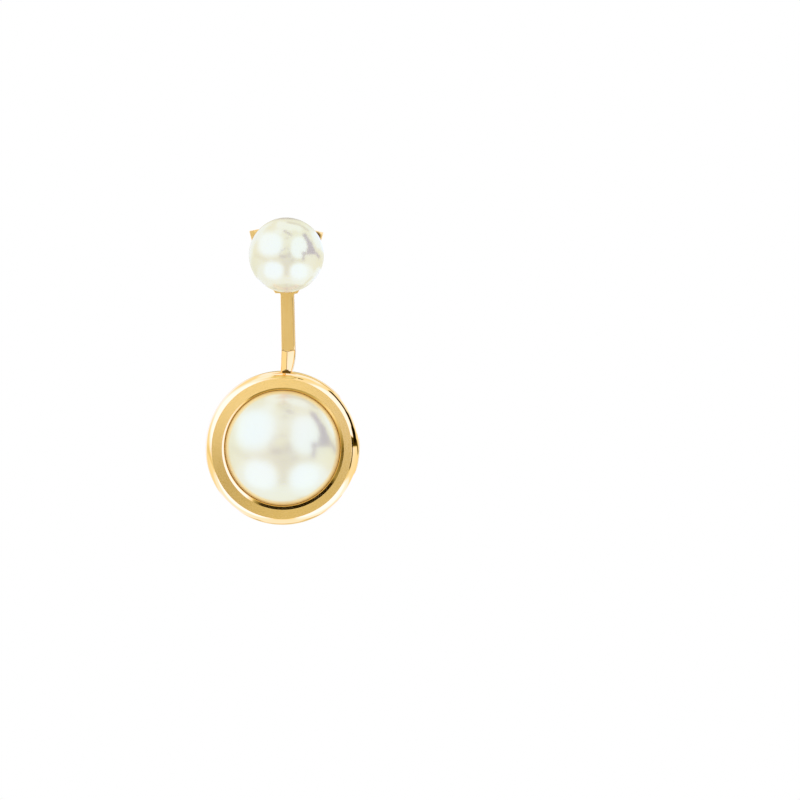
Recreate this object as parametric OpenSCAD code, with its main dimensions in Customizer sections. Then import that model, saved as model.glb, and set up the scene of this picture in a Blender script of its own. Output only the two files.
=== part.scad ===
// Front-and-back pearl earring, in millimetres.
// A small round pearl on a post sits in front of the ear lobe. Behind the lobe the post
// goes through the plate of a jacket, whose bar comes down, turns forward under the lobe
// and carries a round bezel with a larger domed pearl.
// The origin is on the post's axis, in the middle of the lobe. +X is to the right seen
// from the front, +Y runs back through the lobe and +Z is up.

/* [Stud] */
// Diameter of the small pearl
stud_pearl_d = 8; // [6.5:0.1:9]
// Clear distance between the stud's cup and the jacket's plate, where the lobe goes
lobe_gap = 4.8; // [4.4:0.1:6]
// Diameter of the post
post_d = 0.9; // [0.7:0.05:1]
// Length of the post from the back of the cup to its tip
post_length = 11; // [10.8:0.1:13]
// Diameter of the cup behind the small pearl
cup_d = 4.9; // [3.5:0.1:5.5]

/* [Nut] */
// Diameter of the nut's flange
nut_flange_d = 5; // [4:0.1:6]
// Length of the nut along the post
nut_length = 3; // [2.4:0.1:3.2]

/* [Jacket plate and bar] */
// Thickness of the plate and the bar
strip_thick = 0.8; // [0.6:0.05:1]
// Width of the plate across its two upper corners
plate_width = 7.9; // [6:0.1:9]
// Height of the two upper corners above the post
plate_corner_z = 2.4; // [1.8:0.1:3]
// Width of the plate at its foot
plate_foot_width = 2.4; // [2:0.1:3]
// Width of the bar
bar_width = 1.4; // [1:0.05:1.8]
// Distance from the post down to the bend of the bar
bend_drop = 10.28; // [9.8:0.02:11]
// Sideways offset of the bar at the plate's foot
bar_lean_top = 0.24; // [0:0.02:0.3]
// Sideways offset of the bar at its bend
bar_lean_bend = 0.52; // [0:0.02:0.6]
// Depth of the shallow valley along the top of the forward link
valley_depth = 0.13; // [0.05:0.01:0.2]

/* [Bezel] */
// Outer diameter of the bezel
bezel_d = 16.5; // [15.6:0.1:17.5]
// Depth of the bezel from its back to its flat face
bezel_depth = 3.4; // [3:0.1:4]
// Distance from the post down to the bezel's centre
bezel_drop = 20.6; // [20.4:0.1:21.5]
// Diameter of the large pearl
jacket_pearl_d = 12.1; // [11:0.1:12.1]

/* [Hidden] */
$fn = 96;

gold = [0.89, 0.72, 0.42];
pearl_white = [0.95, 0.94, 0.9];

// Stud: heights h run forward from the back of the cup
stud_pearl_r = stud_pearl_d / 2;
cup_r = cup_d / 2;
cup_floor = 0.45;
cup_back_r = 1.7;
cup_flare_h = 0.75;
cup_h = 1.15;
dish_r = stud_pearl_r + 0.03;
dish_steps = 8;
peg_r = 0.4;
peg_depth = 3.1;
peg_hole_r = 0.44;
peg_hole_depth = 3.3;
post_r = post_d / 2;
post_tip_h = 0.4;
notch_depth = 0.12;
notch_width = 0.6;
tip_length = 1.3;
tip_steps = 5;
cup_back_y = -lobe_gap / 2;
stud_pearl_h = cup_floor + stud_pearl_r;

// Jacket: the strip's front is against the back of the lobe
strip_front_y = lobe_gap / 2;
strip_back_y = strip_front_y + strip_thick;
plate_half = plate_width / 2;
plate_top_rise = 0.5;
plate_side_bow = 0.26;
plate_foot_z = -4.05;
plate_foot_x = 0.12;
foot_fillet = 0.16;
bow_steps = 8;
post_hole_r = post_r + 0.08;
bar_half = bar_width / 2;
link_foot_half = 0.62;
link_foot_x = 0.35;
link_side_bow = 0.05;
valley_x = 0.36;

// Nut: close behind the plate
nut_front_y = strip_back_y + 0.1;
nut_flange_r = nut_flange_d / 2;
nut_flange_t = 0.6;
nut_barrel_r = 1.6;
nut_bore_r = post_r + 0.03;
nut_edge = 0.15;
nut_nose = 0.7;
nose_steps = 6;

// Bezel: heights h run forward from its back
bezel_r = bezel_d / 2;
bezel_back_y = 2;
bezel_z = -bezel_drop;
back_edge = 0.3;
link_joint_h = 1.35;
face_out_r = bezel_r - 0.72;
face_fall = 0.08;
face_in_r = bezel_r - 1.7;
bevel_h = 0.1;
lip_h = 0.55;
mouth_r = bezel_r - 2.03;
seat_r = bezel_r - 2.13;
seat_h = 0.8;
roll_tilt = 30;
roll_r = (bezel_r - face_out_r) / (1 - sin(roll_tilt));
roll_foot_h = bezel_depth - face_fall - roll_r * cos(roll_tilt);
roll_steps = 10;
jacket_pearl_r = jacket_pearl_d / 2;
jacket_pearl_h = 1.9;
jacket_pearl_back_h = seat_h + 0.05;

// Link: from the bend to its joint on the bezel's wall
link_end_y = bezel_back_y - link_joint_h;
link_end_z = bezel_z + bezel_r - 0.14;
link_run = strip_front_y - link_end_y;
link_fall = -bend_drop - link_end_z;
link_slope = atan2(link_fall, link_run);
link_root = 0.25;
far = 20;

// Points on a circle arc about (cx, cy), from angle a0 to angle a1
function arc(cx, cy, r, a0, a1, steps) =
    [for (i = [0:steps]) let (a = a0 + (a1 - a0) * i / steps)
        [cx + r * cos(a), cy + r * sin(a)]];

// Points on a shallow parabola from p to q that bows to the right of the way by sag
function bow(p, q, sag, steps) =
    let (d = q - p, side = [d[1], -d[0]] / norm(d))
    [for (i = [0:steps]) let (t = i / steps)
        p + t * d + 4 * sag * t * (1 - t) * side];

// Turns a solid of revolution so that its height runs forward, from a given back
module facing_front(back_y, z) {
    translate([0, back_y, z])
        rotate([90, 0, 0])
            children();
}

// The small pearl, drilled from behind for the peg
module stud_pearl() {
    color(pearl_white)
        facing_front(cup_back_y, 0)
            difference() {
                translate([0, 0, stud_pearl_h])
                    sphere(r = stud_pearl_r);
                translate([0, 0, cup_floor - 1])
                    cylinder(r = peg_hole_r, h = peg_hole_depth + 1);
            }
}

// Peg, cup and post, soldered into one: the peg goes into the pearl, the post through
// the lobe. A notch near the tip catches the nut.
module stud_post() {
    tip_h = -post_length;
    notch_h = tip_h + post_tip_h + tip_length;
    dish_a = asin((cup_r - 0.12) / dish_r);
    peg_a = asin(peg_r / dish_r);
    tip = [for (i = [0:tip_steps]) let (a = 90 * i / tip_steps)
        [post_r * sin(a), tip_h + post_tip_h * (1 - cos(a))]];
    dish = arc(0, stud_pearl_h, dish_r, -90 + dish_a, -90 + peg_a, dish_steps);
    outline = concat(
        tip,
        [[post_r, notch_h],
         [post_r - notch_depth, notch_h + notch_width / 2],
         [post_r, notch_h + notch_width],
         [post_r, 0],
         [cup_back_r, 0],
         [cup_r, cup_flare_h],
         [cup_r, cup_h]],
        dish,
        [[peg_r, cup_floor + peg_depth],
         [0, cup_floor + peg_depth]]);
    color(gold)
        facing_front(cup_back_y, 0)
            rotate_extrude()
                polygon(outline);
}

// A plain friction nut: a flange against the plate and a rounded barrel behind it
module ear_nut() {
    barrel_back = nut_length - nut_nose;
    nose = [for (i = [0:nose_steps]) let (a = 90 * i / nose_steps)
        [nut_barrel_r - 0.6 * (1 - cos(a)), barrel_back + nut_nose * sin(a)]];
    outline = concat(
        [[nut_bore_r, 0],
         [nut_flange_r - nut_edge, 0],
         [nut_flange_r, nut_edge],
         [nut_flange_r, nut_flange_t - nut_edge],
         [nut_flange_r - nut_edge, nut_flange_t],
         [nut_barrel_r, nut_flange_t + 0.1]],
        nose,
        [[nut_bore_r, nut_length]]);
    color(gold)
        translate([0, nut_front_y, 0])
            rotate([-90, 0, 0])
                rotate_extrude()
                    polygon(outline);
}

// The strip seen from the front: arched plate, waist, leaning bar and forward link
module strip_front() {
    corner_r = [plate_half, plate_corner_z];
    corner_l = [-plate_half, plate_corner_z];
    foot_half = plate_foot_width / 2;
    foot_r = [plate_foot_x + foot_half, plate_foot_z];
    foot_l = [plate_foot_x - foot_half, plate_foot_z];
    waist_z = plate_foot_z - foot_fillet;
    top_r = [bar_lean_top + bar_half, waist_z];
    top_l = [bar_lean_top - bar_half, waist_z];
    bend_r = [bar_lean_bend + bar_half, -bend_drop];
    bend_l = [bar_lean_bend - bar_half, -bend_drop];
    link_r = [link_foot_x + link_foot_half, link_end_z];
    link_l = [link_foot_x - link_foot_half, link_end_z];
    root_z = link_end_z - 1.5;
    polygon(concat(
        bow(corner_r, foot_r, -plate_side_bow, bow_steps),
        arc(top_r[0] + foot_fillet, waist_z, foot_fillet, 90, 180, 4),
        bow(bend_r, link_r, -link_side_bow, 4),
        [[link_r[0], root_z],
         [link_l[0], root_z],
         link_l,
         bend_l],
        arc(top_l[0] - foot_fillet, waist_z, foot_fillet, 0, 90, 4),
        bow(foot_l, corner_l, -plate_side_bow, bow_steps),
        bow(corner_l, corner_r, -plate_top_rise, bow_steps)));
}

// The strip seen from the side, as (y, z): straight down, then forward and down
module strip_side() {
    ahead = [-cos(link_slope), -sin(link_slope)];
    under = [sin(link_slope), -cos(link_slope)];
    bend = [strip_front_y, -bend_drop];
    end = [link_end_y, link_end_z] + link_root * ahead;
    back = (strip_thick - strip_thick * under[0]) / -ahead[0];
    polygon([
        [strip_front_y, far],
        bend,
        end,
        end + strip_thick * under,
        bend + strip_thick * under - back * ahead,
        [strip_back_y, far]]);
}

// Two facets that meet in a shallow valley along the top of the link
module link_valley() {
    rise = valley_depth * (2 / bar_half - 1);
    intersection() {
        translate([valley_x, strip_front_y, -bend_drop])
            rotate([90 + link_slope, 0, 0])
                translate([0, 0, -2])
                    linear_extrude(height = 8)
                        polygon([[0, -valley_depth], [2, rise], [2, 2], [-2, 2], [-2, rise]]);
        translate([-far / 2, -far, -far])
            cube([far, far + strip_front_y, far]);
    }
}

// Plate, bar and link: one strip, as wide as the front view and bent as the side view
module strip() {
    difference() {
        intersection() {
            translate([0, far / 2, 0])
                rotate([90, 0, 0])
                    linear_extrude(height = far)
                        strip_front();
            translate([-far / 2, 0, 0])
                rotate([90, 0, 90])
                    linear_extrude(height = far)
                        strip_side();
        }
        link_valley();
        translate([0, strip_front_y - 1, 0])
            rotate([-90, 0, 0])
                cylinder(r = post_hole_r, h = strip_thick + 2);
    }
}

// The bezel: closed back, wall, wide rolled edge, flat face, bevel and seat.
// The roll is an arc that leaves the wall upright and meets the face at roll_tilt.
module bezel() {
    roll = arc(bezel_r - roll_r, roll_foot_h, roll_r, 0, 90 - roll_tilt, roll_steps);
    outline = concat(
        [[0, 0],
         [bezel_r - back_edge, 0],
         [bezel_r, back_edge]],
        roll,
        [[face_in_r, bezel_depth],
         [mouth_r, bezel_depth - bevel_h],
         [seat_r, bezel_depth - lip_h],
         [seat_r, seat_h],
         [0, seat_h]]);
    facing_front(bezel_back_y, bezel_z)
        rotate_extrude()
            polygon(outline);
}

// The jacket's metal, soldered into one
module jacket_frame() {
    color(gold)
        union() {
            strip();
            bezel();
        }
}

// The large pearl: a ball cut flat behind, glued into the bezel's seat
module jacket_pearl() {
    color(pearl_white)
        facing_front(bezel_back_y, bezel_z)
            intersection() {
                translate([0, 0, jacket_pearl_h])
                    sphere(r = jacket_pearl_r);
                translate([-far / 2, -far / 2, jacket_pearl_back_h])
                    cube([far, far, far]);
            }
}

stud_pearl();
stud_post();
ear_nut();
jacket_frame();
jacket_pearl();
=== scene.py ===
# %% [markdown]
# # A pearl earring that is worn on both sides of the ear lobe
# A small round pearl sits in front of the lobe. Behind it hangs a gold jacket, a plate
# and a bar that turn forward under the lobe and carry a larger domed pearl in a round
# bezel. The CAD part is the fixed frame, and every surface here is laid over it.

# %% Load the frame
import bmesh
import bpy
import numpy as np
from mathutils import Matrix


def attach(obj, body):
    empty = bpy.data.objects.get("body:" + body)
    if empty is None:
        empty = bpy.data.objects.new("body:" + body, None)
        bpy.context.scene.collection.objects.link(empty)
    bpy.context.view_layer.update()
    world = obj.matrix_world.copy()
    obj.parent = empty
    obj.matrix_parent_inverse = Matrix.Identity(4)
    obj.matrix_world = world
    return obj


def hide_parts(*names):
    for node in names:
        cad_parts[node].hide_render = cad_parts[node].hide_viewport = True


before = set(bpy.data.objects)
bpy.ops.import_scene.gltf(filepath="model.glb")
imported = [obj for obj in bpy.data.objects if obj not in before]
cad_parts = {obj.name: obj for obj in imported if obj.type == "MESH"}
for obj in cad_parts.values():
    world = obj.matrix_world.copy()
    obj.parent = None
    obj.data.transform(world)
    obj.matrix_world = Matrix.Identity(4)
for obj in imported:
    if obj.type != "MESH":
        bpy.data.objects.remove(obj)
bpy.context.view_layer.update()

MM = 0.001

# %% [markdown]
# ## The camera
# The photograph looks straight at the earring from far away, with a long lens, so that
# almost nothing tapers. The earring hangs a little askew in it. Turning the camera about
# its own line of sight gives that, and leaves the part upright in its frame. The small
# pearl is the clearest thing to aim by, so its place in the picture sets the camera's.
# Lengths are in mm here, and become metres where an object is made.

# %% Set the camera
CAMERA_FAR = 2000.0
PEARL_Y = -6.85
PIXELS_PER_MM = 9.37
PICTURE, SENSOR = 800, 36.0
SMALL_PEARL_AT = np.array([285.85, 254.5])
hang = np.radians(1.25)
screen_right = np.array([np.cos(hang), 0, np.sin(hang)])
screen_up = np.array([-np.sin(hang), 0, np.cos(hang)])
from_pearl = (PICTURE - 1) / 2 - SMALL_PEARL_AT
aim = (screen_right * from_pearl[0] - screen_up * from_pearl[1]) / PIXELS_PER_MM
aim[1] = PEARL_Y - CAMERA_FAR

lens = bpy.data.cameras.new("long_lens")
lens.sensor_width = SENSOR
lens.lens = SENSOR * CAMERA_FAR / (PICTURE / PIXELS_PER_MM)
lens.clip_start, lens.clip_end = 0.1, 20.0
camera = bpy.data.objects.new("camera", lens)
bpy.context.scene.collection.objects.link(camera)
turn = np.eye(4)
turn[:3, 0], turn[:3, 1], turn[:3, 2] = screen_right, screen_up, (0, -1, 0)
turn[:3, 3] = aim * MM
camera.matrix_world = Matrix(turn.tolist())
bpy.context.scene.camera = camera
print("lens", round(lens.lens, 1), "mm, aimed at x, z =", np.round(aim[[0, 2]], 2), "mm")

# %% [markdown]
# ## Points into a mesh
# Each surface is a grid of points with rows and columns. A lathe would be Blender's Screw
# modifier, and a bar an extruded curve, but a grid worked out with numpy gives the same
# control over both: where each row of points lies decides how a polished edge shines.


# %% Skin a grid of points
SAME_POINT = 1e-7
SHARP_FROM = np.radians(40)


def skin(name, grid, materials, row_material=None, wrap=False):
    """Quads over a grid of points in mm, shape (rows, columns, 3).

    Point (i, j) is joined with (i, j+1), (i+1, j+1) and (i+1, j), and the last column
    with the first. wrap joins the last row with the first as well. Points that fall
    together, as at a pole, are merged, and the normals are then turned outwards."""
    rows, columns = grid.shape[:2]
    index = np.arange(rows * columns).reshape(rows, columns)
    if wrap:
        index = np.vstack([index, index[:1]])
    near, far = index[:-1], index[1:]
    quads = np.stack([near, np.roll(near, -1, 1), np.roll(far, -1, 1), far], axis=-1)
    mesh = bpy.data.meshes.new(name)
    mesh.from_pydata((grid.reshape(-1, 3) * MM).tolist(), [], quads.reshape(-1, 4).tolist())
    for material in materials:
        mesh.materials.append(material)
    if row_material is not None:
        slots = np.repeat(np.asarray(row_material, np.int32), columns)
        mesh.polygons.foreach_set("material_index", slots)
    work = bmesh.new()
    work.from_mesh(mesh)
    bmesh.ops.remove_doubles(work, verts=work.verts, dist=SAME_POINT)
    bmesh.ops.recalc_face_normals(work, faces=work.faces)
    work.to_mesh(mesh)
    work.free()
    mesh.shade_smooth()
    mesh.set_sharp_from_angle(angle=SHARP_FROM)
    piece = bpy.data.objects.new(name, mesh)
    bpy.context.scene.collection.objects.link(piece)
    print(name, "has", len(mesh.polygons), "faces")
    return piece


# %% [markdown]
# ## Rounded outlines
# Real metal has no perfectly sharp edge, and the bright line along each edge is what the
# eye reads as metal. The Bevel modifier could round the finished mesh. Rounding the
# outline before it is turned costs nothing and keeps the flats flat: a guard point close
# to each end of an arc stops the smooth shading from creeping over the flat beside it.


# %% Round an outline's corners
def rounded(corners, radii, steps=6, guard=0.012):
    """Outline in mm through corners, with an arc of the given radius at each.

    The arc touches both sides at radius * tan(turn / 2) from the corner. Its centre lies
    on the corner's bisector, at radius / cos(turn / 2), and its points turn evenly
    about it. A radius of 0 leaves the corner as it is."""
    corners = np.asarray(corners, float)
    outline = [corners[:1]]
    for before, corner, after, radius in zip(corners, corners[1:], corners[2:], radii):
        to_before = (before - corner) / np.linalg.norm(before - corner)
        to_after = (after - corner) / np.linalg.norm(after - corner)
        half_open = np.arccos(np.clip(to_before @ to_after, -1, 1)) / 2
        reach = radius / np.tan(half_open)
        if radius == 0:
            outline.append(corner[None])
            continue
        bisector = (to_before + to_after) / np.linalg.norm(to_before + to_after)
        centre = corner + bisector * radius / np.sin(half_open)
        start, end = corner + to_before * reach - centre, corner + to_after * reach - centre
        share = np.linspace(0, 1, steps + 1)[:, None]
        swing = np.pi - 2 * half_open
        arc = (np.sin((1 - share) * swing) * start + np.sin(share * swing) * end) / np.sin(swing)
        ends = [corner + to_before * (reach + guard), corner + to_after * (reach + guard)]
        outline += [ends[0][None], centre + arc, ends[1][None]]
    return np.vstack(outline + [corners[-1:]])


# %% [markdown]
# ## Turning on a lathe
# The pearls, the cup, the nut and the bezel are all round about an axis that runs
# straight forward. One function turns an outline of radius and height about it.


# %% Turn an outline
def turned_grid(outline, back, drop, segments, shift=(0, 0)):
    """Surface of revolution: at angle a, the point of radius r and height h of the outline
    lies at (r cos a, back - h, -drop + r sin a), all in mm. shift moves a row's centre
    sideways and up, by one pair for all rows or one for each."""
    angle = np.linspace(0, 2 * np.pi, segments, endpoint=False)
    radius, height = outline[:, :1], outline[:, 1:]
    moved = np.broadcast_to(shift, outline.shape)
    return np.stack([radius * np.cos(angle) + moved[:, :1],
                     back - height * np.ones_like(angle),
                     radius * np.sin(angle) - drop + moved[:, 1:]], axis=-1)


def turned(name, outline, back, drop, segments, materials, wrap=False):
    """Piece with the surface that an outline makes when it is turned."""
    return skin(name, turned_grid(outline, back, drop, segments), materials, wrap=wrap)


# %% [markdown]
# ## Node helpers
# Materials and studio light are both node trees. Small helpers keep them readable: one
# fills a node's inputs, one adds a node, and the others make a Math node, a mixed colour,
# a cloudy noise and an empty material.


# %% Node helpers
def fill(tree, node, inputs):
    """Give a node's inputs their values, or link them where another node's output is given."""
    for key, value in inputs.items():
        if isinstance(value, bpy.types.NodeSocket):
            tree.links.new(value, node.inputs[key])
        else:
            node.inputs[key].default_value = value


def add_node(tree, kind, inputs=None, **settings):
    """Node of a kind, with its properties set and its inputs filled."""
    node = tree.nodes.new(kind)
    for key, value in settings.items():
        setattr(node, key, value)
    fill(tree, node, inputs or {})
    return node


def calc(tree, operation, *values):
    """Output of a Math node on values, each a number or a socket."""
    return add_node(tree, "ShaderNodeMath", dict(enumerate(values)), operation=operation).outputs[0]


def mix_colour(tree, share, first, second):
    """Colour at a share of the way from the first to the second, each given or linked."""
    return add_node(tree, "ShaderNodeMix", {0: share, 6: first, 7: second},
                    data_type="RGBA").outputs[2]


def noise(tree, place, scale, detail=2.0):
    """Cloudy noise between 0 and 1 over a place, with clouds about 1 / scale metres wide."""
    return add_node(tree, "ShaderNodeTexNoise",
                    {"Vector": place, "Scale": scale, "Detail": detail}).outputs["Fac"]


def blank_material(name):
    """Material with an empty tree, its Principled shader and its Object coordinates."""
    material = bpy.data.materials.new(name)
    material.use_nodes = True
    tree = material.node_tree
    tree.nodes.clear()
    shader = add_node(tree, "ShaderNodeBsdfPrincipled")
    add_node(tree, "ShaderNodeOutputMaterial", {"Surface": shader.outputs[0]})
    return material, tree, shader, add_node(tree, "ShaderNodeTexCoord").outputs["Object"]


# %% [markdown]
# ## Gold
# The metal is brass with a gold plate. Polished gold is a mirror whose colour is all in
# its reflection, so the Principled shader is fully metallic and nearly smooth. With one
# even roughness it would look like foil. What makes it real is unevenness: a polishing
# wheel leaves faint waves and cloudy patches.

# %% Polished gold
GOLD = (1.0, 0.69, 0.255, 1.0)


def polished_gold():
    """Mirror gold. Roughness follows a cloudy noise, and a second, fine noise gives the
    faint waves that a polishing wheel leaves."""
    material, tree, shader, place = blank_material("polished_gold")
    rough = add_node(tree, "ShaderNodeMapRange", {
        "Value": noise(tree, place, 700.0, 3.0), "To Min": 0.02, "To Max": 0.05})
    relief = add_node(tree, "ShaderNodeBump", {
        "Height": noise(tree, place, 1600.0, 1.0), "Strength": 0.2, "Distance": 0.000003})
    fill(tree, shader, {"Base Color": GOLD, "Metallic": 1.0, "Roughness": rough.outputs[0],
                        "Normal": relief.outputs[0]})
    return material


# %% [markdown]
# The flat face of the bezel and the flat sides of the strip are satin: fine abrasive
# lines that spread the reflection. On the face they run round, because it was turned. On
# the strip they run along it. A Wave texture could draw the lines. Noise that is
# stretched in one direction is less regular, as real brushing is.
#
# In scored lines and creases, and at the joint with the bezel, the gold is painted dark
# brown: painted shade that draws them dark. A spot of painted shade also darkens the
# plate's right corner, beside the small pearl.


# %% Satin gold
LINES_DARK, LINES_LIGHT = (0.98, 0.625, 0.18, 1), (1.0, 0.72, 0.25, 1)
# Brown of the painted shade on the plate's right corner, beside the small pearl.
PAINTED_SHADE_BROWN = (0.22, 0.13, 0.035, 1)


def satin_gold(name, lines, roughness, painted_shade_spot=None):
    """Gold with fine lines. lines(tree, place) gives the vector in which a noise is fine
    in one direction and long in the others, and roughness is the mean roughness. The last
    argument gives the middle and the radius in metres of a spot of painted shade that
    fades from brown to clean gold."""
    material, tree, shader, place = blank_material(name)
    grain = noise(tree, lines(tree, place), 1.0, 4.0)
    shade = mix_colour(tree, grain, LINES_DARK, LINES_LIGHT)
    # Painted shade: a brown spot round a point, fading out to clean gold at its radius.
    if painted_shade_spot:
        middle, radius = painted_shade_spot
        away = add_node(tree, "ShaderNodeVectorMath", {0: place, 1: middle},
                        operation="DISTANCE").outputs["Value"]
        shade_mask = add_node(tree, "ShaderNodeMapRange", {
            "Value": away, "From Min": radius, "From Max": radius * 0.6},
            interpolation_type="SMOOTHSTEP").outputs[0]
        shade = mix_colour(tree, shade_mask, shade, PAINTED_SHADE_BROWN)
    rough = add_node(tree, "ShaderNodeMapRange", {
        "Value": grain, "To Min": roughness - 0.05, "To Max": roughness + 0.05})
    relief = add_node(tree, "ShaderNodeBump", {
        "Height": grain, "Strength": 0.3, "Distance": 0.000005})
    fill(tree, shader, {"Base Color": shade, "Metallic": 1.0, "Roughness": rough.outputs[0],
                        "Normal": relief.outputs[0]})
    return material


BEZEL_DROP, BEZEL_BACK, BEZEL_R = 20.6, 2.0, 8.25


def bezel_reach(tree, place):
    """Distance in metres from the bezel's axis: sqrt(x squared + (z + drop) squared)."""
    part = add_node(tree, "ShaderNodeSeparateXYZ", {"Vector": place})
    across, up = part.outputs["X"], calc(tree, "ADD", part.outputs["Z"], BEZEL_DROP * MM)
    return calc(tree, "SQRT", calc(tree, "ADD", calc(tree, "MULTIPLY", across, across),
                                   calc(tree, "MULTIPLY", up, up)))


def round_lines(tree, place):
    """Vector (distance from the bezel's axis, slow angle, 0): fine across, long around."""
    part = add_node(tree, "ShaderNodeSeparateXYZ", {"Vector": place})
    up = calc(tree, "ADD", part.outputs["Z"], BEZEL_DROP * MM)
    reach = calc(tree, "MULTIPLY", bezel_reach(tree, place), 30000.0)
    slow = calc(tree, "MULTIPLY", calc(tree, "ARCTAN2", up, part.outputs["X"]), 6.0)
    return add_node(tree, "ShaderNodeCombineXYZ", {"X": reach, "Y": slow}).outputs[0]


def long_lines(tree, place):
    """Vector stretched along Z: fine across the strip, long along it."""
    return add_node(tree, "ShaderNodeMapping",
                    {"Vector": place, "Scale": (9000.0, 9000.0, 260.0)}).outputs[0]


def filmed_gold(name, thick, thin):
    """Gold painted dark brown for the shade in creases and joints, and half dull. Its colour
    follows a cloudy noise, from the deeper shade to the lighter."""
    material, tree, shader, place = blank_material(name)
    film = mix_colour(tree, noise(tree, place, 2500.0, 3.0), thick, thin)
    fill(tree, shader, {"Base Color": film, "Metallic": 1.0, "Roughness": 0.45,
                        "Specular Tint": (0.45, 0.3, 0.12, 1)})
    return material


gold = polished_gold()
# Painted shade: the darker gold goes at the link's joint with the bezel, the lighter in the scored
# lines.
gold_joint_shade = filmed_gold("gold_with_painted_joint_shade", (0.05, 0.03, 0.003, 1), (0.26, 0.17, 0.03, 1))
gold_line_shade = filmed_gold("gold_with_painted_line_shade", (0.34, 0.21, 0.05, 1), (0.8, 0.52, 0.16, 1))
gold_turned = satin_gold("satin_gold_turned", round_lines, 0.25)
# Middle and radius in metres of the painted shade on the plate's right corner.
CORNER_SHADE_AT, CORNER_SHADE_R = (0.00315, 0.0024, 0.0022), 0.00052
gold_brushed = satin_gold("satin_gold_brushed", long_lines, 0.3, painted_shade_spot=(CORNER_SHADE_AT, CORNER_SHADE_R))

# %% [markdown]
# ## Pearl
# A pearl's lustre comes from many thin, half-clear layers over a white core. Light goes
# in and comes back soft and a little rosy, and the layers together mirror a third of it
# with a green cast. So the base is a faintly rosy white with clouds of cream and blue. The
# mirror part is the shader's own, with a high index of refraction and a green tint.
# Subsurface scattering could follow the light into the layers, at a cost in render
# time. Where the large pearl dips into its seat, its edge is painted peach and then amber:
# painted light that the gold round it throws back.


# %% Pearl lustre
LAYERS_IOR, GREEN_CAST = 3.65, (0.93, 1.0, 0.355, 1)


def pearl_lustre(name, roughness, painted_gold_light=()):
    """White pearl. Two large noises pull the base towards cream and blue. The last argument
    gives the distances from the bezel's axis at which the base is painted peach and then
    amber: painted light from the gold round the pearl."""
    material, tree, shader, place = blank_material(name)
    tint = None
    for shift, scale, dark, light in (
            (0.0, 170.0, (0.89, 0.78, 0.81, 1), (0.85, 0.82, 0.82, 1)),
            (0.7, 240.0, (0.83, 0.785, 0.865, 1), (0.89, 0.81, 0.785, 1))):
        moved = add_node(tree, "ShaderNodeMapping", {"Vector": place, "Location": (shift,) * 3})
        cloud = noise(tree, moved.outputs[0], scale, 1.0)
        spread = add_node(tree, "ShaderNodeMapRange", {
            "Value": cloud, "From Min": 0.35, "From Max": 0.65}).outputs[0]
        pair = mix_colour(tree, spread, dark, light)
        tint = pair if tint is None else mix_colour(tree, 0.5, tint, pair)
    # Painted light from the gold: near the seat the base turns peach, then amber.
    for start, end, colour in painted_gold_light:
        edge = add_node(tree, "ShaderNodeMapRange", {
            "Value": bezel_reach(tree, place), "From Min": start, "From Max": end},
            interpolation_type="SMOOTHSTEP").outputs[0]
        tint = mix_colour(tree, edge, tint, colour)
    fine = noise(tree, place, 900.0)
    rough = add_node(tree, "ShaderNodeMapRange", {
        "Value": fine, "To Min": roughness - 0.03, "To Max": roughness + 0.03})
    fill(tree, shader, {"Base Color": tint, "Roughness": rough.outputs[0], "IOR": LAYERS_IOR,
                        "Specular Tint": GREEN_CAST})
    return material


pearl = pearl_lustre("pearl_lustre", 0.18)
# The large pearl's edge gets painted light from the gold of its seat.
pearl_in_gold = pearl_lustre("pearl_lustre_in_gold", 0.22, painted_gold_light=[
    (0.0056, 0.0059, (0.93, 0.72, 0.50, 1)), (0.0059, 0.0061, (0.85, 0.50, 0.22, 1))])

# %% [markdown]
# ## The small pearl
# It is a ball of 8 mm, drilled from behind for the peg that holds it. A UV sphere would
# do for the ball alone. Turning a half circle that runs on into the drilled hole makes
# ball and hole one closed surface, with a small rounded edge at the drill's mouth.

# %% Make the small pearl
CUP_BACK = -2.4
STUD_R, STUD_H = 4.0, 4.45
HOLE_R, HOLE_TOP, HOLE_EDGE = 0.44, 3.75, 0.05
mouth = np.arcsin((HOLE_R + HOLE_EDGE) / STUD_R)
sweep = np.linspace(0, np.pi - mouth, 90)
ball = np.column_stack([STUD_R * np.sin(sweep), STUD_H + STUD_R * np.cos(sweep)])
mouth_h = STUD_H - STUD_R * np.cos(mouth)
hole = rounded([(HOLE_R + HOLE_EDGE, mouth_h), (HOLE_R, mouth_h + HOLE_EDGE),
                (HOLE_R, HOLE_TOP), (0, HOLE_TOP)], [0.03, 0.05])
stud_pearl = turned("small_pearl", np.vstack([ball, hole[1:]]), CUP_BACK, 0, 144, [pearl])
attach(stud_pearl, "stud")
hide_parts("stud_pearl")

# %% [markdown]
# ## Peg, cup and post
# A goldsmith solders a small cup to the post, glues the pearl over the peg, and files a
# notch near the tip for the nut. Cylinders joined with a Boolean would leave hard steps.
# All of it is round, so one outline from the tip to the end of the peg is turned
# instead, with a solder fillet where the post meets the cup and a hollow nest for the
# pearl.

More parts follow.
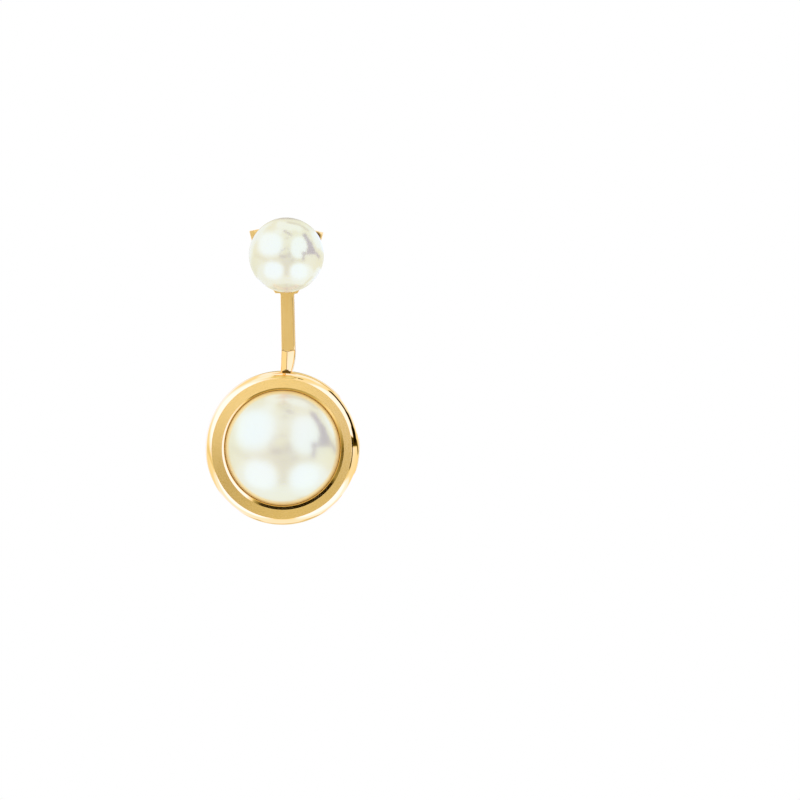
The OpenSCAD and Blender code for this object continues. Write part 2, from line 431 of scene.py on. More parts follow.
# %% Make the peg, cup and post
POST_R, POST_LONG, TIP_ROUND = 0.45, 11, 0.4
NEST_R, NEST_EDGE, PEG_R, PEG_TOP = 4.03, 2.33, 0.4, 3.55
tip_turn = np.linspace(0, np.pi / 2, 10)
tip = np.column_stack([POST_R * np.sin(tip_turn),
                       -POST_LONG + TIP_ROUND * (1 - np.cos(tip_turn))])
nest_turn = np.linspace(np.arcsin(NEST_EDGE / NEST_R), np.arcsin(PEG_R / NEST_R), 16)
nest = np.column_stack([NEST_R * np.sin(nest_turn), STUD_H - NEST_R * np.cos(nest_turn)])
shank = rounded([tip[-1], (POST_R, -9.3), (POST_R - 0.12, -9.0), (POST_R, -8.7), (POST_R, 0),
                 (1.75, 0), (2.45, 0.7), (2.45, 1.15), nest[0]],
                [0.06, 0.06, 0.06, 0.3, 0.6, 0.3, 0.05], steps=8)
peg = rounded([nest[-1], (PEG_R, PEG_TOP), (0, PEG_TOP)], [0.08])
post = turned("cup_and_post", np.vstack([tip, shank[1:], nest[1:], peg[1:]]),
              CUP_BACK, 0, 96, [gold])
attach(post, "stud")
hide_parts("stud_post")

# %% [markdown]
# ## The nut
# The nut sits on the post behind the plate. It is a flange and a barrel with two turned
# grooves for the fingertips. A Boolean could bore it, but the bore is round like the
# rest, so it is simply part of the turned outline: a closed loop, in which the last row
# of points joins the first.

# %% Make the nut
NUT_FRONT, NUT_LONG = 3.3, 3.0
BORE_R, FLANGE_R, BARREL_R, FINGER_R = 0.48, 2.5, 1.6, 1.5
nut_corners = [(BORE_R, 1.5), (BORE_R, 0), (FLANGE_R, 0), (FLANGE_R, 0.6), (BARREL_R, 0.6),
               (BARREL_R, 1.0), (FINGER_R, 1.1), (BARREL_R, 1.2),
               (BARREL_R, 1.5), (FINGER_R, 1.6), (BARREL_R, 1.7),
               (BARREL_R, NUT_LONG), (BORE_R, NUT_LONG), (BORE_R, 1.5)]
nut_radii = [0.05, 0.15, 0.2, 0.12, 0.05, 0.05, 0.05, 0.05, 0.05, 0.05, 0.6, 0.08]
nut_outline = rounded(nut_corners, nut_radii, steps=6)[:-1] * (1, -1)
nut = turned("ear_nut_turned", nut_outline, NUT_FRONT, 0, 96, [gold], wrap=True)
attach(nut, "stud")
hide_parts("ear_nut")

# %% [markdown]
# ## The strip
# Plate, bar and forward link are one strip of 0.8 mm, cut to its outline and bent. It
# could be a flat mesh with Solidify and a bend, but the bend is tight and its place
# matters. So rows of points go down the strip. Each row knows its left, middle and right
# point and where front and back lie, and a rounded rectangle is laid through them. Its
# front has a scored groove in the middle, for the link's valley, and a flat chamfer on
# the right, for the bar.

# %% Cross-section of the strip
EDGE = 0.045
THICK = 0.8
# The groove's half width and the chamfer's width are shares of the edge radius. The
# groove's edges and bottom lie at shares of the valley's depth, and the chamfer's depth
# is a share of the strip's thickness.
GROOVE, GROOVE_EDGE, GROOVE_DEEP = 0.6, 0.95, 1.3
CHAMFER_IN, CHAMFER_BACK = 3.4, 0.02
run = np.linspace(0, 1, 7)
quarter = np.linspace(0, np.pi / 2, 6)
fall, rise = np.cos(quarter), np.sin(quarter)


def stretch(left, middle, right, through, out_left, out_right, out_back, valley):
    """Columns for one stretch of the section: shares of the left, middle and right point,
    share of the way from front to back, shares of the three outward directions, and
    share of the valley's depth."""
    parts = (left, middle, right, through, out_left, out_right, out_back, valley)
    length = max(np.size(part) for part in parts)
    return np.column_stack([np.broadcast_to(part, length) for part in parts])


section = np.vstack([
    stretch(1 - run, run, 0, 0, 0, 0, -1, run)[:-1],
    stretch(0, 1, 0, 0, 0, [-GROOVE, 0, GROOVE], -1, [GROOVE_EDGE, GROOVE_DEEP, GROOVE_EDGE]),
    stretch(0, 1 - run, run, 0, 0, 0, -1, 1 - run)[1:-1],
    stretch(0, 0, 1, 0, 0, -CHAMFER_IN, -1, 0),
    stretch(0, 0, 1, CHAMFER_BACK, 0, rise, -fall, 0),
    stretch(0, 0, 1, 1, 0, fall, rise, 0),
    stretch(0, run, 1 - run, 1, 0, 0, 1, 0)[1:-1],
    stretch(run, 1 - run, 0, 1, 0, 0, 1, 0),
    stretch(1, 0, 0, 1, rise, 0, fall, 0)[1:],
    stretch(1, 0, 0, 0, fall, 0, -rise, 0)[:-1]])
print("the strip's section has", len(section), "points")

# %% [markdown]
# The outline has a left and a right side, each a row of points from the plate's upper
# corner down to the bend. Both bow inwards along the plate, step in at its foot, and
# lean a little to the right along the bar, as in the photograph.


# %% Outline of the strip
def bowed(start, end, sag, steps):
    """Points from start to end, pushed to the right of the way by 4 sag t (1 - t)."""
    t = np.linspace(0, 1, steps)[:, None]
    way = np.subtract(end, start)
    side = np.array([way[1], -way[0]]) / np.linalg.norm(way)
    return np.asarray(start) + t * way + 4 * sag * t * (1 - t) * side


CORNER_X, CORNER_Z, ARCH, ASIDE = 3.96, 2.56, 0.5, -0.12
FOOT_Z, BEND_Z = -4.05, -10.08
# Middle and half width of the plate's foot and of the bar's two ends.
FOOT_X, BAR_TOP, BAR_END = (0.02, 1.2), (0.14, 0.74), (0.40, 0.76)
BOW = 0.26


def side_outline(hand):
    """Outline (x, z) on one hand, -1 for left and 1 for right: flank, foot and bar."""
    foot_x, bar_top, bar_end = [middle + hand * half
                                for middle, half in (FOOT_X, BAR_TOP, BAR_END)]
    foot = (foot_x, FOOT_Z)
    flank = bowed((ASIDE + hand * CORNER_X, CORNER_Z - EDGE), foot, -hand * BOW, 24)
    step = rounded([flank[-2], foot, (bar_top, FOOT_Z), (bar_end, BEND_Z)], [0.06, 0.16], steps=7)
    share = np.linspace(0, 1, 26)[1:, None]
    bar = step[-2] + share * (step[-1] - step[-2])
    return np.vstack([flank[:-1], step[1:-1], bar])


def outward(outline, hand):
    """Unit normals of an outline in its plane, away from the strip."""
    way = np.gradient(outline, axis=0)
    way = way / np.linalg.norm(way, axis=1, keepdims=True)
    return hand * np.column_stack([-way[:, 1], way[:, 0]])


left_side, right_side = side_outline(-1), side_outline(1)
straight = len(left_side)
print("rows from the corners to the bend:", straight, "and", len(right_side))

# %% [markdown]
# Each row also needs to know where it is in depth. Down to the bend that is simple: the
# front lies against the back of the lobe. At the bend the strip turns forward round a
# small radius, and then slopes down to the bezel with a shallow valley along its top.
# Above the plate's corners a few rows round the arched top edge.

# %% Rows of the strip
FRONT_Y, BEND_R = 2.4, 0.12
# The link's top meets the roll 1.35 mm before the bezel's back and 0.14 mm below its
# highest point, and runs on into it by LINK_ROOT.
LINK_END = (BEZEL_BACK - 1.35, -BEZEL_DROP + BEZEL_R - 0.14)
LINK_ROOT = 0.3
VALLEY_X, VALLEY = 0.25, 0.11

drop = BEND_Z - LINK_END[1]
slope = np.arctan2(drop, FRONT_Y - LINK_END[0])
ahead = np.array([-np.cos(slope), -np.sin(slope)])
bend_turn = np.linspace(0, np.pi / 2 - slope, 10)
bend_out = np.column_stack([np.cos(bend_turn), -np.sin(bend_turn)])
bend_front = np.array([FRONT_Y - BEND_R, BEND_Z]) + BEND_R * bend_out
link_reach = np.hypot(drop, FRONT_Y - LINK_END[0])
link_way = np.concatenate([[0.02], np.linspace(0.08, link_reach + LINK_ROOT, 22)])
link_share = link_way / link_reach
top_turn = np.concatenate([[np.pi / 2], np.linspace(np.pi / 2, 0, 7)[:-1]])
stages = len(top_turn), straight, len(bend_turn), len(link_way)


def along_strip(*values):
    """One value per row, from what holds over the top edge, along the outline, round the
    bend and along the link. Each is a number or an array with one value for each row."""
    return np.concatenate([np.full(rows, value, float) for rows, value in zip(stages, values)])


bend_y, bend_z = bend_front.T
top_z = CORNER_Z - EDGE + EDGE * np.sin(top_turn)
front_y = along_strip(FRONT_Y, FRONT_Y, bend_y, bend_y[-1] + link_way * ahead[0])
front_z = along_strip(top_z, left_side[:, 1], bend_z, bend_z[-1] + link_way * ahead[1])
back_y = along_strip(1, 1, bend_out[:, 0], bend_out[-1, 0])
back_z = along_strip(0, 0, bend_out[:, 1], bend_out[-1, 1])

# The link's left side is nearly straight, and its right side curves in to the bezel.
link_left = -0.37 - 0.02 * link_share
link_right = 1.17 - 0.1 * link_share - 0.36 * link_share ** 2
x_left = along_strip(left_side[0, 0], left_side[:, 0], left_side[-1, 0], link_left)
x_right = along_strip(right_side[0, 0], right_side[:, 0], right_side[-1, 0], link_right)
lift_right = along_strip(0, right_side[:, 1] - left_side[:, 1], 0, 0)
x_middle = np.interp(front_z, [BEND_Z - 0.1, FOOT_Z, CORNER_Z], [VALLEY_X, BAR_TOP[0], ASIDE])
sunk = along_strip(0, 0, 1, 1) * VALLEY / np.cos(slope)
arch = np.clip(front_z / (CORNER_Z - EDGE), 0, 1) * ARCH
edge_r = along_strip(EDGE * np.cos(top_turn), EDGE, EDGE, EDGE)
left_nx, left_nz = [along_strip(end, way, end, end)
                    for end, way in zip((-1, 0), outward(left_side, -1).T)]
right_nx, right_nz = [along_strip(end, way, end, end)
                      for end, way in zip((1, 0), outward(right_side, 1).T)]
print("the strip has", len(front_z), "rows; its link slopes", round(np.degrees(slope), 1), "deg")

# %% [markdown]
# Now the section is laid through every row at once. Blender's Boolean modifier then
# drills the hole for the post. It is applied and its cutter removed, so that nothing of
# it is left in the file.


# %% Make the strip
FOOT_CLEAR = 0.3


def strip_grid():
    """Point (row, column) = shares of the left, middle and right core points, plus the
    edge radius along the outward direction, plus the depth along the row's backward
    direction. The arch lifts a point by arch * (1 - (x / half width) squared). The
    chamfer is there only along the bar, a little below the plate's foot."""
    left, middle, right, through, go_left, go_right, go_back, valley = section.T
    through = np.tile(through, (len(front_z), 1))
    through[[0, -1]] = 0.5
    on_bar = ((front_z < FOOT_Z - FOOT_CLEAR) & (front_z > BEND_Z))[:, None]
    go_right = np.where(go_right == -CHAMFER_IN, on_bar * go_right, go_right)
    through = np.where(through == CHAMFER_BACK, on_bar * through, through)
    x = (np.outer(x_left - EDGE * left_nx, left) + np.outer(x_middle, middle)
         + np.outer(x_right - EDGE * right_nx, right)
         + np.outer(edge_r * left_nx, go_left) + (edge_r * right_nx)[:, None] * go_right)
    lift = (np.outer(-EDGE * left_nz, left) + np.outer(lift_right - EDGE * right_nz, right)
            + np.outer(edge_r * left_nz, go_left) + (edge_r * right_nz)[:, None] * go_right)
    depth = EDGE + (THICK - 2 * EDGE) * through + np.outer(edge_r, go_back)
    half = (x_right - x_left)[:, None] / 2
    across = (x - (x_right + x_left)[:, None] / 2) / half
    y = front_y[:, None] + depth * back_y[:, None]
    z = (front_z[:, None] + depth * back_z[:, None] + lift - np.outer(sunk, valley)
         + arch[:, None] * (1 - across ** 2))
    return np.stack([x, y, z], axis=-1)


strip = skin("plate_bar_and_link", strip_grid(), [gold_brushed, gold, gold_joint_shade, gold_line_shade])
POST_HOLE_R, DRILL_FROM, DRILL_TO = 0.53, 2.0, 3.8
drill_outline = np.array([(0, DRILL_FROM), (POST_HOLE_R, DRILL_FROM), (POST_HOLE_R, DRILL_TO),
                          (0, DRILL_TO)])
drill = turned("drill", drill_outline * (1, -1), 0, 0, 64, [gold])
cut = strip.modifiers.new("post_hole", "BOOLEAN")
cut.operation, cut.object, cut.solver = "DIFFERENCE", drill, "EXACT"
with_hole = bpy.data.meshes.new_from_object(
    strip.evaluated_get(bpy.context.evaluated_depsgraph_get()))
strip.modifiers.remove(cut)
strip.data = with_hole
bpy.data.objects.remove(drill)
print("the drilled strip has", len(with_hole.polygons), "faces")

# %% [markdown]
# Plate and bar are brushed in front and behind, and their edges and the link are polished,
# as a buffing wheel would leave them. A mask could be painted by hand. It is simpler that
# each face takes its material from where it points: straight to the front or back is
# satin, the rest is mirror. The scored lines, at the bend and along the valley, get a
# lighter painted shade of brown, for the shade in these creases. A darker painted shade
# fills a small wedge at the joint with the bezel, where the link runs into the roll.

# %% Share out the strip's finishes and painted shade
STRAIGHT, FORWARD = 0.98, -0.2
VALLEY_HALF, BEND_DOWN, BEND_HALF, GROOVE_HALF = 0.6, 0.02, 0.06, 0.03
WEDGE_HIGH, WEDGE_WIDE, WEDGE_CURVE = 0.22, 2, 1.2


def read_faces(mesh):
    """Where each face points, its middle in mm, and its material slot."""
    size = len(mesh.polygons)
    facing, centres = np.zeros(size * 3, np.float32), np.zeros(size * 3, np.float32)
    slots = np.zeros(size, np.int32)
    for key, values in (("normal", facing), ("center", centres), ("material_index", slots)):
        mesh.polygons.foreach_get(key, values)
    return facing.reshape(-1, 3), centres.reshape(-1, 3) / MM, slots


facing, centres, finish = read_faces(with_hole)
to_valley = np.abs(centres[:, 0] - VALLEY_X)
bend_line = BEND_Z - VALLEY / np.cos(slope) * np.clip(1 - to_valley / VALLEY_HALF, 0, 1)
above_joint = centres[:, 2] - (BEZEL_R - BEZEL_DROP)
in_front = (facing[:, 1] < FORWARD) & (centres[:, 2] < BEND_Z + 0.2)
at_bend = np.abs(centres[:, 2] - bend_line + BEND_DOWN) < BEND_HALF
in_groove = (to_valley < GROOVE_HALF) & (centres[:, 2] < bend_line)
in_wedge = to_valley < WEDGE_WIDE * np.clip(WEDGE_HIGH - above_joint, 0, 1) ** WEDGE_CURVE
finish[np.abs(facing[:, 1]) < STRAIGHT] = 1
# Painted shade: the scored lines at the bend and along the valley get the lighter dark gold, the
# wedge at the joint the darker.
finish[in_front & (at_bend | in_groove)] = 3
finish[in_front & in_wedge] = 2
with_hole.polygons.foreach_set("material_index", finish)
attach(strip, "jacket")
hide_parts("jacket_frame")
# The last two counts are faces with painted shade: darker at the joint, lighter in the scored lines.
print("faces brushed, polished, dark and scored:", np.bincount(finish))

# %% [markdown]
# ## The bezel
# A bezel is a cup of sheet metal with a heavy rim. From behind to the front its outline
# has a dished back, a wall, a wide polished roll, a flat satin face that falls slightly to
# the outside, a mirror bevel, and the wall of the seat that holds the pearl. A torus for
# the roll would be quick, but it would flow into the face. The real roll meets the face
# at an edge, so its reflections start at once and run to the silhouette.

# %% Outline of the bezel
FACE_R, FACE_H, MOUTH_R, SEAT_R, SEAT_H = 7.51, 3.4, 6.54, 6.2, 0.8
FACE_FALL, DISH_R, DISH_EDGE, DISH_H = 0.09, 6.6, 6.8, 0.12
ROLL_TILT, BEVEL_TILT = np.radians(27), np.radians(10)
roll_r = (BEZEL_R - FACE_R) / (1 - np.sin(ROLL_TILT))
roll_turn = np.linspace(0, np.pi / 2 - ROLL_TILT, 33)
roll = np.column_stack([BEZEL_R - roll_r + roll_r * np.cos(roll_turn),
                        FACE_H - FACE_FALL + roll_r * (np.sin(roll_turn) - np.cos(ROLL_TILT))])
base = rounded([(0, DISH_H), (DISH_R, DISH_H), (DISH_EDGE, 0), (BEZEL_R, 0), roll[0]],
               [0.4, 0.1, 0.28])
inner_h = FACE_H - (MOUTH_R - SEAT_R) * np.tan(BEVEL_TILT)
FLAT_GUARD = 0.006
rim = rounded([roll[-2], roll[-1], (MOUTH_R, FACE_H), (SEAT_R, inner_h), (SEAT_R, SEAT_H),
               (0, SEAT_H)], [0.02, 0.015, 0.02, 0.1], guard=FLAT_GUARD)
bezel_outline = np.vstack([base, roll[1:-2], rim])
print("the bezel's outline has", len(bezel_outline), "points; its roll has radius", round(roll_r, 2))

# %% [markdown]
# Neither the face nor the mouth was cut quite in the middle, as the photograph shows: the
# roll is narrow below and on the left, and the bevel is narrow above. Pushing the rings
# over in Edit Mode would warp the bevel. So the rows at the mouth are turned about a
# centre of their own, and the roll's rows about centres that move over step by step. The
# bevel stays one flat cone, as its inner rows sink where it gets wider.

# %% Make the bezel
MOUTH_SHIFT, FACE_SHIFT = np.array([0.05, -0.10]), np.array([-0.085, -0.095])
BEZEL_STEPS = 288
row_r, row_h = bezel_outline.T
on_top = row_h > FACE_H / 2
share = np.clip((BEZEL_R - row_r) / (BEZEL_R - FACE_R), 0, 1) * (on_top & (row_r > 7))
shift = share[:, None] * FACE_SHIFT
shift[on_top & (np.abs(row_r - MOUTH_R) < 0.05)] = MOUTH_SHIFT
inside = on_top & (row_r < SEAT_R + 0.1)
grid = turned_grid(bezel_outline, BEZEL_BACK, BEZEL_DROP, BEZEL_STEPS, shift)
angle = np.linspace(0, 2 * np.pi, BEZEL_STEPS, endpoint=False)
wider = MOUTH_SHIFT[0] * np.cos(angle) + MOUTH_SHIFT[1] * np.sin(angle)
grid[inside, :, 1] += wider * np.tan(BEVEL_TILT)
print("the bevel is", round(MOUTH_R - SEAT_R, 2), "mm wide, give or take", round(wider.max(), 2))
middle_r, middle_h = (bezel_outline[1:] + bezel_outline[:-1]).T / 2
on_face = ((middle_r > MOUTH_R + FLAT_GUARD) & (middle_r < FACE_R - FLAT_GUARD)
           & (middle_h > FACE_H - 0.15))
in_dish = (middle_r < DISH_R - 0.05) & (middle_h < 0.2)
bezel = skin("round_bezel", grid, [gold, gold_turned, gold_joint_shade], on_face | in_dish)

# %% [markdown]
# Where the link is soldered on, the roll is painted dark brown: painted shade in the corner
# where link and roll meet. A mask could mix it into the gold, but the roll's faces are
# small enough to pick out: those beside the link get the dark painted-shade gold.

# %% Paint shade at the solder joint
JOINT_X, JOINT_HALF, JOINT_FROM_AXIS, JOINT_DEEP = 0.26, 0.5, 8.0, 0.6
_, centres, finish = read_faces(bezel.data)
from_axis = np.hypot(centres[:, 0], centres[:, 2] + BEZEL_DROP)
# Painted shade: the roll's faces beside the link, in front of its back, get the darkest gold.
shaded = ((np.abs(centres[:, 0] - JOINT_X) < JOINT_HALF) & (centres[:, 2] > -BEZEL_DROP)
           & (from_axis > JOINT_FROM_AXIS) & (centres[:, 1] < BEZEL_BACK - JOINT_DEEP))
finish[shaded] = 2
bezel.data.polygons.foreach_set("material_index", finish)
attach(bezel, "jacket")
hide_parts("jacket_frame")
print("faces stained at the joint:", int(shaded.sum()))

# %% [markdown]
# ## The large pearl
# A domed half pearl, cut flat behind and glued into the seat, which leaves a thin dark
# line round it. A squashed sphere would look the same from the front, and a turned
# outline gives the foot as well. It is half an ellipse, as the dome is a little flatter
# than a ball. Its widest place is just below the metal's edge, over a steep wall.

# %% Make the large pearl
DOME_R, WAIST_H, POLE_H, BACK_H = 6.17, 3.0, 7.95, 0.85
WALL_FROM, WALL_STEEP, WALL_REACH = -0.55, 0.35, 4.1
climb = np.linspace(WALL_FROM, np.pi / 2, 120)
reach = np.where(climb < 0, WALL_REACH, POLE_H - WAIST_H)
dome = np.column_stack([DOME_R * np.cos(climb) ** np.where(climb < 0, WALL_STEEP, 1),
                        WAIST_H + reach * np.sin(climb)])
flat_back = rounded([(0, BACK_H), (dome[0, 0], BACK_H), tuple(dome[1])], [0.05], guard=0.004)
jacket_pearl = turned("large_pearl", np.vstack([flat_back[:-1], dome[2:]]),
                      BEZEL_BACK, BEZEL_DROP, 192, [pearl_in_gold])
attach(jacket_pearl, "jacket")
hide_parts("jacket_pearl")

# %% [markdown]
# ## Floor
# The floor is a plain disc of pale paper well below the earring. A plane would do, but a
# disc has no corners to show. The front camera doesn't see it, and it gives the other
# views a ground. It takes no part in the reflections, because in the studio the light
# comes from below as well.

# %% Lay the floor
FLOOR_R, FLOOR_Z = 1200, -90.0
around = np.linspace(0, 2 * np.pi, 128, endpoint=False)
rings = np.linspace(0, FLOOR_R, 12)[:, None]
disc = np.stack([rings * np.cos(around), rings * np.sin(around),
                 np.full((len(rings), len(around)), FLOOR_Z)], axis=-1)
paper, paper_tree, paper_shader, paper_place = blank_material("pale_paper")
paper_tone = mix_colour(paper_tree, noise(paper_tree, paper_place, 40.0),
                        (0.86, 0.86, 0.855, 1), (0.9, 0.9, 0.9, 1))
fill(paper_tree, paper_shader, {"Base Color": paper_tone, "Roughness": 0.9})
floor = skin("floor", disc, [paper])
for ray in ("diffuse", "glossy", "transmission", "shadow"):
    setattr(floor, "visible_" + ray, False)

# %% [markdown]
# ## Studio light
# Polished metal and pearl show the room more than themselves, so the room is designed:
# four soft windows of a light tent round the camera, the gaps between them, and a few
# dark places that draw the black lines in the gold. Area lights would do for the windows.
# Painting all of it on the world's sphere of directions keeps soft edges and puts each
# window exactly where its reflection is wanted. The camera sees a plain white backdrop.
#
# A pearl is a small mirror ball. So the painting is done on a flat map of one: a point of
# the map is the place on the ball, seen from the front, where a direction shows. A window
# that shows in the pearl's upper left is then painted in the map's upper left.

# %% Map of a mirror ball
world = bpy.data.worlds.new("studio")
bpy.context.scene.world = world
world.use_nodes = True
sky = world.node_tree
sky.nodes.clear()
look = sky.nodes.new("ShaderNodeTexCoord").outputs["Generated"]
look_part = add_node(sky, "ShaderNodeSeparateXYZ", {"Vector": look})


def ball_map(side):
    """Map of a mirror ball seen from the front (side -1) or from behind (side 1).

    The ball's normal lies halfway between the direction d and the way to the viewer, so
    its x and z are those of d over the length of the two together, which is
    sqrt(2 + 2 side d_y). A hair more than 2 keeps that from being 0."""
    length = calc(sky, "SQRT",
                  calc(sky, "MULTIPLY_ADD", look_part.outputs["Y"], 2.0 * side, 2.0001))
    return add_node(sky, "ShaderNodeCombineXYZ", {
        "X": calc(sky, "DIVIDE", look_part.outputs["X"], length),
        "Y": calc(sky, "DIVIDE", look_part.outputs["Z"], length)}).outputs[0]


front_map, back_map = ball_map(-1), ball_map(1)

# %% [markdown]
# The room is built up in layers, like a picture. Each layer is a rectangle with round
# corners and soft edges, and has one brightness. 1 is the white of the backdrop.


# %% Lay a patch over the room
def patch(light, ball, centre, size, level, soft=0.06, corner=0.1, turn=0.0):
    """Brightness with a soft rounded rectangle laid over it.

    In the patch's own axes, the distance to its edge is the length of what |x| and |z|
    exceed the half size less the corner radius by, less that radius. The mask falls from
    1 to 0 as this distance crosses the soft border."""
    own = add_node(sky, "ShaderNodeMapping", {
        "Vector": ball, "Location": (*centre, 0), "Rotation": (0, 0, np.radians(turn))},
        vector_type="TEXTURE").outputs[0]
    corner = min(corner, min(size) / 2)
    inner = (size[0] / 2 - corner, size[1] / 2 - corner, 0)
    beyond = own
    for operation, value in (("ABSOLUTE", None), ("SUBTRACT", inner), ("MAXIMUM", (0, 0, 0))):
        inputs = {0: beyond} if value is None else {0: beyond, 1: value}
        beyond = add_node(sky, "ShaderNodeVectorMath", inputs, operation=operation).outputs[0]
    reach = add_node(sky, "ShaderNodeVectorMath", {0: beyond}, operation="LENGTH").outputs["Value"]
    mask = add_node(sky, "ShaderNodeMapRange", {
        "Value": reach, "From Min": corner + soft / 2, "From Max": corner - soft / 2},
        interpolation_type="SMOOTHSTEP").outputs[0]
    return add_node(sky, "ShaderNodeMix", {0: mask, 2: light, 3: level}).outputs[0]


def slope_along(ball, way, low, high, at_low, at_high):
    """Brightness that changes evenly along a way over the map, between two places."""
    share = add_node(sky, "ShaderNodeVectorMath", {0: ball, 1: (*way, 0)},
                     operation="DOT_PRODUCT").outputs["Value"]
    return add_node(sky, "ShaderNodeMapRange", {
        "Value": share, "From Min": low, "From Max": high, "To Min": at_low,
        "To Max": at_high}).outputs[0]


# %% [markdown]
# First come the walls. The far ones, behind the earring, get two windows with a dark gap
# between them and a dim band below, so that the back of the piece has something to show
# as well. Close to the camera's axis the room darkens downwards, which shades the
# bezel's flat face from top to bottom, and two dim places there shade it further.

# %% Paint the walls
UP_THE_ROOM = (0.3, 0.95)
room = slope_along(front_map, UP_THE_ROOM, -0.95, 0.95, 1.3, 1.4)
BACK_WINDOWS = [
    # centre, size, level
    ((-0.30, 0.16), (0.30, 0.40), 2.2),
    ((0.30, 0.20), (0.24, 0.34), 1.9),
    ((0.05, -0.36), (0.70, 0.16), 0.5),
    ((0.0, 0.12), (0.12, 0.36), 0.35),
]
room = patch(room, back_map, (0, 0), (1.2, 1.2), 0.98, soft=0.3, corner=0.6)
for centre, size, level in BACK_WINDOWS:
    room = patch(room, back_map, centre, size, level, soft=0.10, corner=0.08)
near_tone = slope_along(front_map, (-0.35, 0.94), -0.12, 0.12, 0.66, 1.07)
room = patch(room, front_map, (0.0, 0.0), (0.66, 0.66), near_tone, soft=0.28, corner=0.3)
room = patch(room, front_map, (-0.085, -0.09), (0.18, 0.16), 0.16, soft=0.1, corner=0.07)
room = patch(room, front_map, (0.09, -0.02), (0.14, 0.20), 0.5, soft=0.1, corner=0.07)

# %% [markdown]
# Then come the gaps between the windows, the four windows round the camera, the lit
# strips beyond them, and thin dim lines over the strips. The upper left window has a soft
# edge all round. The others are sharper and have a brighter middle.

# %% Paint the windows
FRONT_WINDOWS = [
    # centre, size, level, soft, corner, turn
    ((0.00, -0.42), (0.17, 0.62), 0.75, 0.08, 0.04, 0),
    ((0.06, -0.14), (0.90, 0.11), 0.88, 0.06, 0.04, 0),
    ((-0.66, -0.09), (0.44, 0.12), 0.88, 0.06, 0.04, -23),
    ((0.00, -0.74), (0.50, 0.34), 1.9, 0.10, 0.08, 0),
    ((-0.43, 0.28), (0.64, 0.62), 3.4, 0.18, 0.26, 0),
    ((0.455, 0.225), (0.57, 0.62), 1.6, 0.05, 0.25, 0),
    ((0.345, 0.205), (0.44, 0.58), 3.1, 0.07, 0.21, 0),
    ((-0.42, -0.53), (0.70, 0.62), 2.0, 0.07, 0.24, -8),
    ((-0.33, -0.42), (0.50, 0.46), 3.6, 0.12, 0.20, -8),
    ((0.43, -0.51), (0.62, 0.56), 2.5, 0.06, 0.24, 0),
    ((0.35, -0.43), (0.46, 0.42), 3.6, 0.10, 0.20, 0),
    ((0.06, 0.76), (0.70, 0.20), 2.3, 0.08, 0.08, -8),
    ((-0.21, 0.62), (0.20, 0.13), 2.4, 0.06, 0.05, 0),
    ((0.20, 0.61), (0.16, 0.10), 1.05, 0.06, 0.05, 0),
    ((0.88, 0.42), (0.14, 0.60), 2.6, 0.05, 0.05, 26),
    ((0.785, 0.40), (0.12, 0.46), 2.8, 0.05, 0.05, 26),
    ((0.80, -0.48), (0.12, 0.40), 2.6, 0.05, 0.06, -32),
    ((0.145, 0.848), (0.33, 0.055), 0.6, 0.03, 0.02, -10),
    ((0.440, 0.745), (0.34, 0.055), 0.6, 0.03, 0.02, -31),
    ((0.190, -0.895), (0.60, 0.045), 0.8, 0.03, 0.02, 12),
    ((0.600, -0.670), (0.34, 0.045), 0.9, 0.03, 0.02, 44),
]
for centre, size, level, soft, corner, angle in FRONT_WINDOWS:
    room = patch(room, front_map, centre, size, level, soft, corner, angle)

# %% [markdown]
# The dark places come after them. The tent has a seam on the right. It widens downwards
# to a fold, and from the fold one crease runs out and one in and down. A small dark place
# ends the gap between the right windows, and two short bars hang over the camera.

# %% Paint the dark places
DARK_PLACES = [
    # centre, size, level, soft, corner, turn
    ((0.533, 0.445), (0.105, 0.32), 0.01, 0.03, 0.03, 32),
    ((0.630, 0.258), (0.150, 0.22), 0.01, 0.03, 0.03, 17),
    ((0.650, 0.136), (0.220, 0.15), 0.01, 0.03, 0.04, 8),
    ((0.600, 0.063), (0.370, 0.075), 0.01, 0.025, 0.01, 3),
    ((0.465, -0.030), (0.070, 0.20), 0.01, 0.04, 0.02, -6),
    ((0.835, 0.020), (0.065, 0.19), 0.12, 0.03, 0.02, 38),
    ((0.160, -0.140), (0.090, 0.060), 0.35, 0.05, 0.03, 0),
    ((0.030, 0.585), (0.270, 0.055), 0.1, 0.03, 0.02, -30),
    ((0.020, 0.450), (0.100, 0.040), 0.4, 0.03, 0.02, 0),
]
for centre, size, level, soft, corner, angle in DARK_PLACES:
    room = patch(room, front_map, centre, size, level, soft, corner, angle)

# %% [markdown]
# The bezel's bevel is a flat cone, tilted inwards by 10 degrees. A flat cone reflects one
# narrow ring of directions, 20 degrees off the camera's axis. What is painted on that
# ring makes the white and the black crescent in the bevel. Each shows on the side that
# lies opposite its place on the ring.

# %% Paint the ring that the bevel reflects
RING_INNER, RING_OUTER = 0.006, 0.011
ring_at = float(np.sin(BEVEL_TILT))
far_out = add_node(sky, "ShaderNodeVectorMath", {0: front_map}, operation="LENGTH").outputs["Value"]
on_ring = add_node(sky, "ShaderNodeMapRange", {
    "Value": calc(sky, "ABSOLUTE", calc(sky, "SUBTRACT", far_out, ring_at)),
    "From Min": RING_OUTER, "From Max": RING_INNER}, interpolation_type="SMOOTHSTEP").outputs[0]
map_part = add_node(sky, "ShaderNodeSeparateXYZ", {"Vector": front_map})
clock = calc(sky, "ARCTAN2", map_part.outputs["Y"], map_part.outputs["X"])
RING_STOPS = [
    # clock in degrees, brightness
    (-180, 0.14), (-162, 0.6), (-142, 1.1), (-118, 0.55), (-70, 0.3), (-58, 0.32), (-44, 1.7),
    (-20, 3.0), (54, 3.4), (62, 0.6), (70, 0.02), (146, 0.02), (154, 0.35), (170, 0.2), (180, 0.14)]
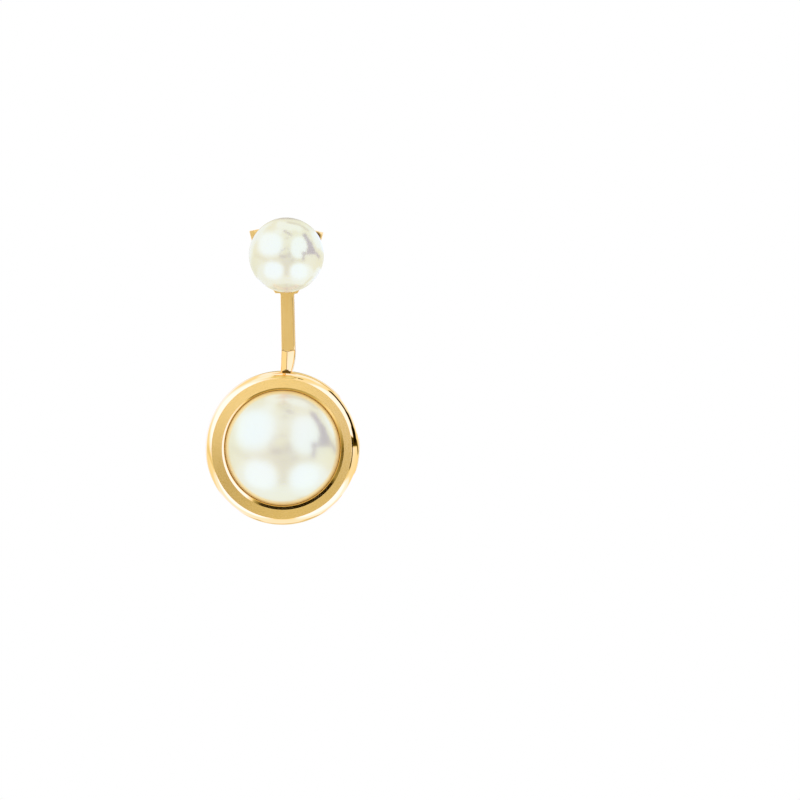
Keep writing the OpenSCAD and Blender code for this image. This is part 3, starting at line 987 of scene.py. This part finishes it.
ring_ramp = add_node(sky, "ShaderNodeValToRGB",
                     {0: calc(sky, "MULTIPLY_ADD", clock, 0.5 / np.pi, 0.5)})
stops = ring_ramp.color_ramp.elements
for _ in RING_STOPS[2:]:
    stops.new(0.5)
for stop, (degrees, level) in zip(stops, RING_STOPS):
    stop.position, stop.color = (degrees + 180) / 360, (level, level, level, 1)
room = add_node(sky, "ShaderNodeMix", {0: on_ring, 2: room, 3: ring_ramp.outputs[0]}).outputs[0]
print("the bevel reflects the map at", round(ring_at, 3), "from its centre")

# %% [markdown]
# A photograph squeezes bright light: a white window in gold comes out cream in it, and
# not the strong yellow that multiplying gives. So the light itself gets a slight tint
# that grows with its brightness: bright windows are a little blue, dark walls warm. Over
# 1, red grows by a tenth of what the brightness grows by, green by a fifth, and blue by
# all of it. Under 1, green falls a little faster than red, and blue much faster.
#
# Diffuse light is kept apart from the reflections: the pearls are lit by a smooth, even
# room, so that the bright windows show in the lustre and don't burn out the white base.

# %% Tint the light and wire the world
red = calc(sky, "MINIMUM", room, calc(sky, "MULTIPLY_ADD", room, 0.1, 0.9))
green = calc(sky, "MINIMUM", calc(sky, "POWER", room, 1.1),
             calc(sky, "MULTIPLY_ADD", room, 0.2, 0.8))
blue = calc(sky, "MINIMUM", calc(sky, "POWER", room, 1.75), room)
mirrored = add_node(sky, "ShaderNodeCombineColor", {0: red, 1: green, 2: blue}).outputs[0]
even = slope_along(front_map, UP_THE_ROOM, -0.95, 0.95, 0.88, 0.94)
ray = sky.nodes.new("ShaderNodeLightPath")
lit = mix_colour(sky, ray.outputs["Is Diffuse Ray"], mirrored, even)
seen = mix_colour(sky, ray.outputs["Is Camera Ray"], lit, (1, 1, 1, 1))
backdrop = add_node(sky, "ShaderNodeBackground", {"Color": seen, "Strength": 1.0})
add_node(sky, "ShaderNodeOutputWorld", {"Surface": backdrop.outputs[0]})
world.cycles.sampling_method = "NONE"
bpy.context.scene.view_settings.view_transform = "Standard"
print("the studio has", len(sky.nodes), "nodes")
